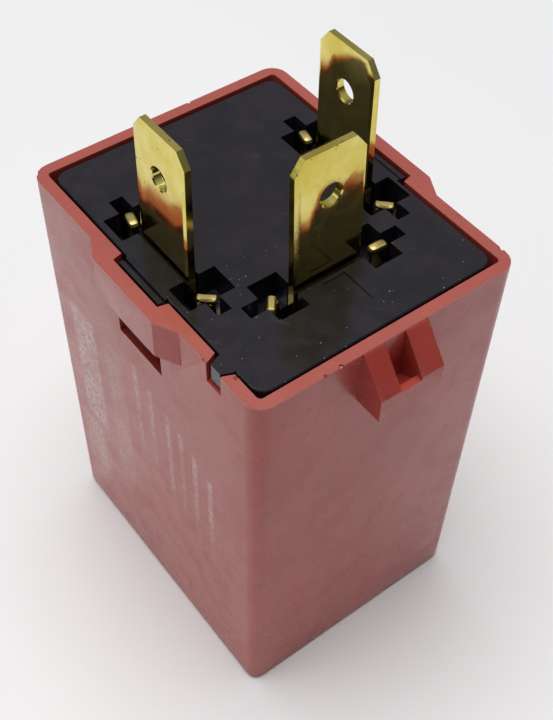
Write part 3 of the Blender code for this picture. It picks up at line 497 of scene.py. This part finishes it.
def resistor_material(middle, bands):
    """Tan lacquer with plain colour bands around the body, and tinned leads behind it."""
    g = Graph("resistor_lacquer", IOR=1.5)
    colour = g.mix(g.ramp(g.noise(0.9, 3.0), 0.3, 0.7), (0.56, 0.40, 0.22), (0.64, 0.48, 0.28))
    for offset, tint in bands:
        at = middle + offset
        colour = g.mix(g.band(g.x, at - BAND_HALF, at + BAND_HALF, 0.04), colour, tint)
    along = g.math("ABSOLUTE", g.math("SUBTRACT", g.x, middle))
    lead = g.ramp(along, RESISTOR_HALF, RESISTOR_HALF + 0.04)
    colour = g.mix(lead, colour, (0.62, 0.62, 0.60))
    g.tree.links.new(lead, g.shader.inputs["Metallic"])
    rough = g.ramp(g.noise(2.0, 3.0), 0.3, 0.7, 0.25, 0.38)
    return g.finish(colour, rough, g.bump(g.noise(6.0, 3.0), 0.004))


# ---------------------------------------------------------------- case

def case_rule(middle, along):
    """How much each case edge is rounded: most on the rim's outer edge, least inside."""
    x, y, z = middle
    half_x, half_y = CASE_HALF
    if x > BRACKET_X and BRACKET_Y[0] < y < BRACKET_Y[1]:
        return 0.45
    if z > RIM_Z - 0.05:
        outer = abs(x) > half_x - 0.5 or abs(y) > half_y - 0.35
        return 0.9 if outer else 0.45
    if abs(along.z) > 0.9 and z > RIM_Z - 4.5:
        return 0.7
    return 0.4


def make_case():
    shell = clean_copy("case", "case_shell")
    random.seed(7)
    for x, y, drop, size in NICKS:
        bm = bmesh.new()
        bmesh.ops.create_icosphere(bm, subdivisions=1, radius=size)
        for vert in bm.verts:
            vert.co *= random.uniform(0.7, 1.25)
            vert.co.x *= random.uniform(0.8, 1.6)
        bmesh.ops.translate(bm, vec=Vector((x, y, RIM_Z - drop)), verts=bm.verts)
        combine(shell, from_bmesh("nick", bm), "DIFFERENCE")
    soften(shell, 0.3, 3, case_rule)
    return shell


# ---------------------------------------------------------------- base

def make_base():
    plate = clean_copy("base", "base_plate")
    (x0, x1), (y0, y1) = GROOVE_X, GROOVE_Y
    z = (BASE_TOP - GROOVE_DEPTH, BASE_TOP + 1)
    for x, y in (((x0 - GROOVE_HALF, x0 + GROOVE_HALF), (y0, y1)),
                 ((x0 - GROOVE_HALF, x1), (y1 - GROOVE_HALF, y1 + GROOVE_HALF))):
        combine(plate, block("groove", x, y, z), "DIFFERENCE")
    tidy_object(plate)

    def rule(middle, along):
        return 1.0 if middle.z > BASE_TOP - 2.8 else 0.6
    soften(plate, 0.09, 2, rule)
    return plate


# ---------------------------------------------------------------- terminals

def inset_outline(points, insets):
    """The outline moved inwards, each side by its own inset. Points run anticlockwise."""
    count = len(points)
    lines = []
    for i in range(count):
        a, b = Vector(points[i]), Vector(points[(i + 1) % count])
        along = (b - a).normalized()
        inward = Vector((-along.y, along.x))
        lines.append((a + inward * insets[i], along))
    moved = []
    for i in range(count):
        (p, d), (q, e) = lines[i - 1], lines[i]
        cross = d.x * e.y - d.y * e.x
        if abs(cross) < 1e-6:
            moved.append(q)
            continue
        t = ((q.x - p.x) * e.y - (q.y - p.y) * e.x) / cross
        moved.append(p + d * t)
    return moved


def terminal_plate(name, u0, v0, along_x, leg_low, top, ears):
    """Blade, shoulders, ears and leg in one plate, with coined edges on the blade."""
    half = BLADE_W / 2
    right = [(LEG_HALF, leg_low), (LEG_HALF, SHOULDER_Z[0]), (SHOULDER_HALF, SHOULDER_Z[0]),
             (EAR_OUT, EAR_STRAIGHT), (EAR_IN, EAR_STRAIGHT), (EAR_IN, SHOULDER_Z[1]),
             (half, SHOULDER_Z[1]), (half, top - TIP_CHAMFER[1]), (half - TIP_CHAMFER[0], top)]
    outline = right + [(-u, z) for u, z in reversed(right)]
    count = len(outline)
    insets, depths = [], []
    for i in range(count):
        a, b = outline[i], outline[(i + 1) % count]
        high = min(a[1], b[1]) >= top - TIP_CHAMFER[1] - 0.01
        long_side = abs(a[0] - b[0]) < 0.01 and abs(abs(a[0]) - half) < 0.01
        insets.append((COIN_TIP if high else COIN_SIDE if long_side else COIN_REST)[0])
    for i in range(count):
        high = outline[i][1] >= top - TIP_CHAMFER[1] - 0.01
        blade = abs(abs(outline[i][0]) - half) < 0.01
        depths.append((COIN_TIP if high else COIN_SIDE if blade else COIN_REST)[1])
    inner = inset_outline(outline, insets)

    def place(u, z, v):
        return (u0 + u, v0 + v, z) if along_x else (v0 + v, u0 + u, z)
    rings = [[place(p.x, p.y, -BLADE_T / 2) for p in inner],
             [place(u, z, -BLADE_T / 2 + d) for (u, z), d in zip(outline, depths)],
             [place(u, z, BLADE_T / 2 - d) for (u, z), d in zip(outline, depths)],
             [place(p.x, p.y, BLADE_T / 2) for p in inner]]
    plate = loft(name, rings)
    for side, twist in zip((-1, 1), ears):
        combine(plate, staked_ear(u0, v0, side, along_x, twist), "UNION")
    hole_z = top - HOLE_DROP
    rings = []
    for v, radius in ((-1, HOLE_R + 0.7), (-BLADE_T / 2 + 0.1, HOLE_R), (BLADE_T / 2 - 0.1, HOLE_R),
                      (1, HOLE_R + 0.7)):
        turns = [math.tau * i / 32 for i in range(32)]
        rings.append([place(radius * math.cos(t), hole_z + radius * math.sin(t), v) for t in turns])
    combine(plate, loft("hole", rings), "DIFFERENCE")
    return plate


def staked_ear(u0, v0, side, along_x, twist):
    """The top of an ear, twisted about its own middle and rounded off."""
    middle = side * (EAR_IN + EAR_OUT) / 2
    half_u = (EAR_OUT - EAR_IN) / 2
    low = EAR_STRAIGHT - 0.1
    levels = [(low + (EAR_TOP - low) * s, 1.0) for s in (0, 0.25, 0.5, 0.75, 0.88)]
    levels += [(EAR_TOP - 0.08, 0.88), (EAR_TOP, 0.55)]
    dip = EAR_DIP if abs(twist) > DIP_FROM_TWIST else 0.0
    rings = []
    for z, size in levels:
        angle = math.radians(twist * (z - low) / (EAR_TOP - low))
        ring = []
        for k in range(12):
            turn = math.tau * k / 12
            across, through = math.cos(turn), math.sin(turn)
            du = half_u * size * math.copysign(abs(across) ** EAR_ROUNDNESS, across)
            dv = BLADE_T / 2 * size * math.copysign(abs(through) ** EAR_ROUNDNESS, through)
            u = middle + du * math.cos(angle) - dv * math.sin(angle)
            v = du * math.sin(angle) + dv * math.cos(angle)
            level = z - dip * size * (1 - (du / half_u) ** 2) if z > EAR_TOP - 0.3 else z
            ring.append((u0 + u, v0 + v, level) if along_x else (v0 + v, u0 + u, level))
        rings.append(ring)
    return loft("ear", rings)


def make_terminals():
    made = []
    low, high = (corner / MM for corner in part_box("terminal_front"))
    made.append(terminal_plate("front_terminal", *FRONT_AT, True, low.z, high.z, FRONT_EARS))
    low, high = (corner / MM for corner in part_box("terminal_rear"))
    rear = terminal_plate("rear_terminal", *REAR_AT, True, low.z, high.z, REAR_EARS)
    tab_x = (REAR_AT[0] - TAB_HALF, REAR_AT[0] + TAB_HALF)
    combine(rear, block("tab", tab_x, (low.y, REAR_AT[1]), TAB_Z), "UNION")
    made.append(rear)
    low, high = (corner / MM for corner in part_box("terminal_side"))
    side = terminal_plate("side_terminal", SIDE_AT[1], SIDE_AT[0], False, low.z, high.z, SIDE_EARS)
    contact_low, contact_high = (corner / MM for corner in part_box("fixed_contact"))
    contact = (contact_low + contact_high) / 2
    foot_y = (contact.y - FOOT_HALF, contact.y + FOOT_HALF)
    foot = block("foot", (low.x, SIDE_AT[0] + BLADE_T / 2), foot_y, (low.z, low.z + BLADE_T))
    combine(side, foot, "UNION")
    turns = [math.tau * i / 24 for i in range(24)]
    hole = [[(contact.x + math.cos(t), contact.y + math.sin(t), z) for t in turns]
            for z in (low.z - 1, low.z + 2)]
    combine(side, loft("hole", hole), "DIFFERENCE")
    made.append(side)
    for plate, (lean_x, lean_y) in zip(made, (FRONT_LEAN, REAR_LEAN, SIDE_LEAN)):
        tidy_object(plate)
        soften(plate, 0.05, 2, from_angle=20)
        for vert in plate.data.vertices:
            share = max(0.0, vert.co.z / MM - BASE_TOP) / BLADE_RISE
            vert.co.x += lean_x * share * MM
            vert.co.y += lean_y * share * MM
    return made


# ---------------------------------------------------------------- stage

def make_camera():
    a, e, r = (math.radians(v) for v in (CAMERA_AZIMUTH, CAMERA_ELEVATION, CAMERA_ROLL))
    back = Vector((math.sin(a) * math.cos(e), -math.cos(a) * math.cos(e), math.sin(e)))
    level = Vector((math.cos(a), math.sin(a), 0))
    rise = back.cross(level)
    right = math.cos(r) * level + math.sin(r) * rise
    up = math.cos(r) * rise - math.sin(r) * level
    data = bpy.data.cameras.new("camera")
    data.lens = CAMERA_LENS
    data.sensor_width = 36
    data.clip_start = 0.001
    data.clip_end = 50
    camera = link("camera", data)
    turn = Matrix((right, up, back)).transposed().to_4x4()
    camera.matrix_world = Matrix.Translation(Vector(CAMERA_AT) * MM) @ turn
    bpy.context.scene.camera = camera


def make_floor():
    bm = bmesh.new()
    bmesh.ops.create_grid(bm, x_segments=1, y_segments=1, size=900)
    floor = from_bmesh("floor", bm)
    g = Graph("floor_white", IOR=1.4)
    colour = g.mix(g.ramp(g.noise(0.01, 2.0), 0.3, 0.7), (0.92, 0.92, 0.925), (0.94, 0.94, 0.945))
    g.shader.inputs["Roughness"].default_value = 0.55
    floor.data.materials.append(g.finish(colour))


def area_light(name, place, target, size, power):
    data = bpy.data.lights.new(name, "AREA")
    data.shape = "DISK"
    data.size = size
    data.energy = power
    light = link(name, data)
    light.location = place
    light.rotation_mode = "QUATERNION"
    light.rotation_quaternion = (Vector(target) - Vector(place)).to_track_quat("-Z", "Y")


def make_light():
    world = bpy.data.worlds.new("studio")
    bpy.context.scene.world = world
    world.use_nodes = True
    tree = world.node_tree
    background = tree.nodes["Background"]
    place = tree.nodes.new("ShaderNodeTexCoord")
    parts = tree.nodes.new("ShaderNodeSeparateXYZ")
    rise = tree.nodes.new("ShaderNodeMapRange")
    rise.interpolation_type = "SMOOTHSTEP"
    for socket, value in (("From Min", 0.1), ("From Max", 0.9), ("To Min", 0.09), ("To Max", 0.45)):
        rise.inputs[socket].default_value = value
    tree.links.new(place.outputs["Generated"], parts.inputs[0])
    tree.links.new(parts.outputs[2], rise.inputs["Value"])
    # The room is darker towards +X and -Y.
    facing = tree.nodes.new("ShaderNodeVectorMath")
    facing.operation = "DOT_PRODUCT"
    facing.inputs[1].default_value = (0.78, -0.62, 0.0)
    tree.links.new(place.outputs["Generated"], facing.inputs[0])
    shade = tree.nodes.new("ShaderNodeMapRange")
    for socket, value in (("From Min", 0.0), ("From Max", 0.9), ("To Min", 1.0), ("To Max", 0.2)):
        shade.inputs[socket].default_value = value
    tree.links.new(facing.outputs["Value"], shade.inputs["Value"])
    both = tree.nodes.new("ShaderNodeMath")
    both.operation = "MULTIPLY"
    tree.links.new(rise.outputs[0], both.inputs[0])
    tree.links.new(shade.outputs[0], both.inputs[1])
    tree.links.new(both.outputs[0], background.inputs["Strength"])
    background.inputs["Color"].default_value = (1.0, 1.0, 1.0, 1.0)
    area_light("softbox", (-0.05, -0.05, 0.80), (0, 0, 0.02), 0.7, 4.8)
    area_light("fill", (-0.25, -0.55, 0.35), (0, 0, 0.02), 0.5, 0.35)


# ---------------------------------------------------------------- the whole relay

def dress(made, material, body, node):
    made.data.materials.clear()
    made.data.materials.append(material)
    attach(made, body)
    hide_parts(node)


def repaint(node, material):
    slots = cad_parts[node].data.materials
    slots.clear()
    slots.append(material)


def main():
    make_camera()
    make_floor()
    make_light()
    dress(make_case(), red_plastic(), HOUSING, "case")
    dress(make_base(), black_plastic(), HOUSING, "base")
    brass_finish = brass()
    for plate, node in zip(make_terminals(), ("terminal_front", "terminal_rear", "terminal_side")):
        dress(plate, brass_finish, HOUSING, node)

    steel = metal("zinc_steel", (0.60, 0.60, 0.56), (0.46, 0.46, 0.44), 0.22, 0.42, (0.3, 3.0, 3.0),
                  (0.38, 0.33, 0.24))
    silver = metal("contact_silver", (0.86, 0.85, 0.82), (0.74, 0.73, 0.70), 0.16, 0.3)
    bronze = metal("leaf_bronze", (0.72, 0.44, 0.22), (0.60, 0.34, 0.15), 0.18, 0.34, (0.3, 4.0, 4.0),
                   (0.35, 0.16, 0.08))
    spring = metal("spring_wire", (0.52, 0.52, 0.52), (0.40, 0.40, 0.41), 0.2, 0.36, (3.0, 3.0, 3.0))
    tinned = metal("tinned_wire", (0.70, 0.70, 0.68), (0.56, 0.56, 0.55), 0.25, 0.45, (2.0, 2.0, 2.0))
    finishes = {
        "yoke": steel, "core": steel, "armature": steel,
        "spring_rivet_near": steel, "spring_rivet_far": steel,
        "fixed_contact": silver, "moving_contact": silver,
        "contact_spring": bronze, "return_spring": spring,
        "shunt_wire": tinned, "coil_pin_left": tinned, "coil_pin_right": tinned,
        "bobbin": moulded("nylon", (0.72, 0.68, 0.56), (0.78, 0.75, 0.64), 0.35, 0.5),
        "coil_winding": winding_material(),
        "coil_tape": tape_material(),
        "pigtail": braid_material(),
        "circuit_board": circuit_board_material(),
        "timer_chip": moulded("chip_epoxy", (0.018, 0.018, 0.019), (0.028, 0.028, 0.029), 0.45, 0.6,
                              2.0, 0.012),
        "timing_capacitor": moulded("capacitor_sleeve", (0.010, 0.022, 0.12), (0.014, 0.03, 0.16),
                                    0.22, 0.36),
        "diode": moulded("diode_body", (0.02, 0.02, 0.02), (0.032, 0.03, 0.03), 0.25, 0.4),
    }
    brown, black = (0.16, 0.05, 0.02), (0.01, 0.01, 0.01)
    orange, gold = (0.7, 0.2, 0.02), (0.5, 0.33, 0.06)
    for node, middle, tints in (("resistor_low", -6.6, (brown, black, orange)),
                                ("resistor_mid", 7.6, (brown, black, brown)),
                                ("resistor_high", 7.6, (orange, orange, brown))):
        bands = [(BAND_PITCH * i - LAST_BAND, tint) for i, tint in enumerate(tints)] + [(LAST_BAND, gold)]
        finishes[node] = resistor_material(middle, bands)
    for node, material in finishes.items():
        repaint(node, material)


main()
bpy.context.scene.view_settings.view_transform = "Standard"
